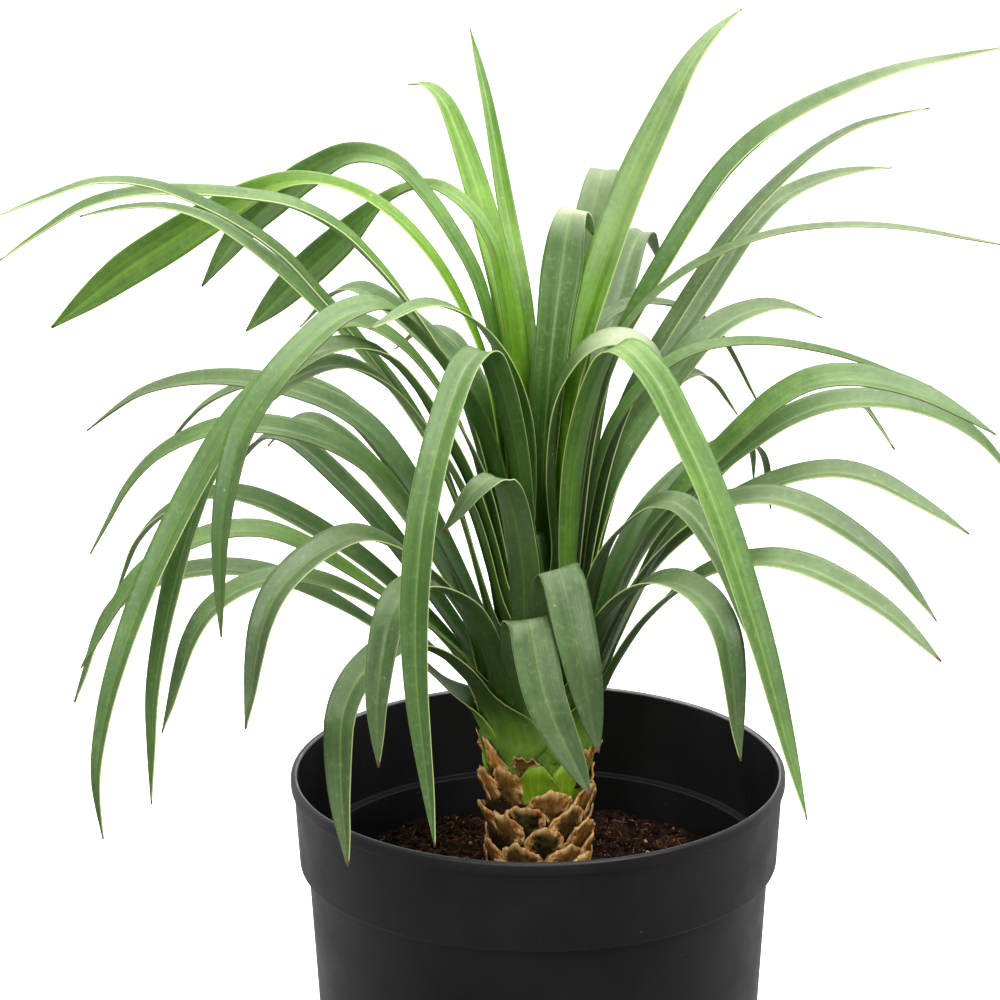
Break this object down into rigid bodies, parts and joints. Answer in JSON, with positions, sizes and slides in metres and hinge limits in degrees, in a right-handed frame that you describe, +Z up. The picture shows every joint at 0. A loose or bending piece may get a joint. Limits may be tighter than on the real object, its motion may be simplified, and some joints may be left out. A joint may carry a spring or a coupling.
{
  "type": "potted yucca",
  "caption": "Potted yucca: a short scaly stump with a head of long arching channelled leaves, in soil in a round black nursery pot.",
  "frame": {"origin": "centre of the pot's flat underside", "axes": "+Z is up out of the pot along its turning axis, -Y faces the viewer of the reference picture and +X is to the viewer's right"},
  "size_m": [0.4836, 0.3315, 0.5698],
  "materials": {
    "pot_plastic": "matte black",
    "soil_mix": "moist potting mix",
    "trunk_bark": "fibrous, dry, tan to brown",
    "crown_green": "fresh waxy green",
    "leaf_green": "waxy, finely veined green"
  },
  "bodies": {
    "root": {"pot": "pot_plastic", "soil": "soil_mix", "trunk": "trunk_bark", "crown": "crown_green", "leaf_01": "leaf_green", "leaf_02": "leaf_green", "leaf_03": "leaf_green", "leaf_04": "leaf_green", "leaf_05": "leaf_green", "leaf_06": "leaf_green", "leaf_07": "leaf_green", "leaf_08": "leaf_green", "leaf_09": "leaf_green", "leaf_10": "leaf_green", "leaf_11": "leaf_green", "leaf_12": "leaf_green", "leaf_13": "leaf_green", "leaf_14": "leaf_green", "leaf_15": "leaf_green", "leaf_16": "leaf_green", "leaf_17": "leaf_green", "leaf_18": "leaf_green", "leaf_19": "leaf_green", "leaf_20": "leaf_green", "leaf_21": "leaf_green", "leaf_22": "leaf_green", "leaf_23": "leaf_green", "leaf_24": "leaf_green", "leaf_25": "leaf_green", "leaf_26": "leaf_green", "leaf_27": "leaf_green", "leaf_28": "leaf_green", "leaf_29": "leaf_green", "leaf_30": "leaf_green", "leaf_31": "leaf_green", "leaf_32": "leaf_green", "leaf_33": "leaf_green", "leaf_34": "leaf_green", "leaf_35": "leaf_green", "leaf_36": "leaf_green", "leaf_37": "leaf_green", "leaf_38": "leaf_green", "leaf_39": "leaf_green", "leaf_40": "leaf_green", "leaf_41": "leaf_green", "leaf_42": "leaf_green", "leaf_43": "leaf_green", "leaf_44": "leaf_green", "leaf_45": "leaf_green", "leaf_46": "leaf_green", "leaf_47": "leaf_green", "leaf_48": "leaf_green", "leaf_49": "leaf_green", "leaf_50": "leaf_green", "leaf_51": "leaf_green", "leaf_52": "leaf_green", "leaf_53": "leaf_green", "leaf_54": "leaf_green", "leaf_55": "leaf_green", "leaf_56": "leaf_green"}
  },
  "joints": []
}
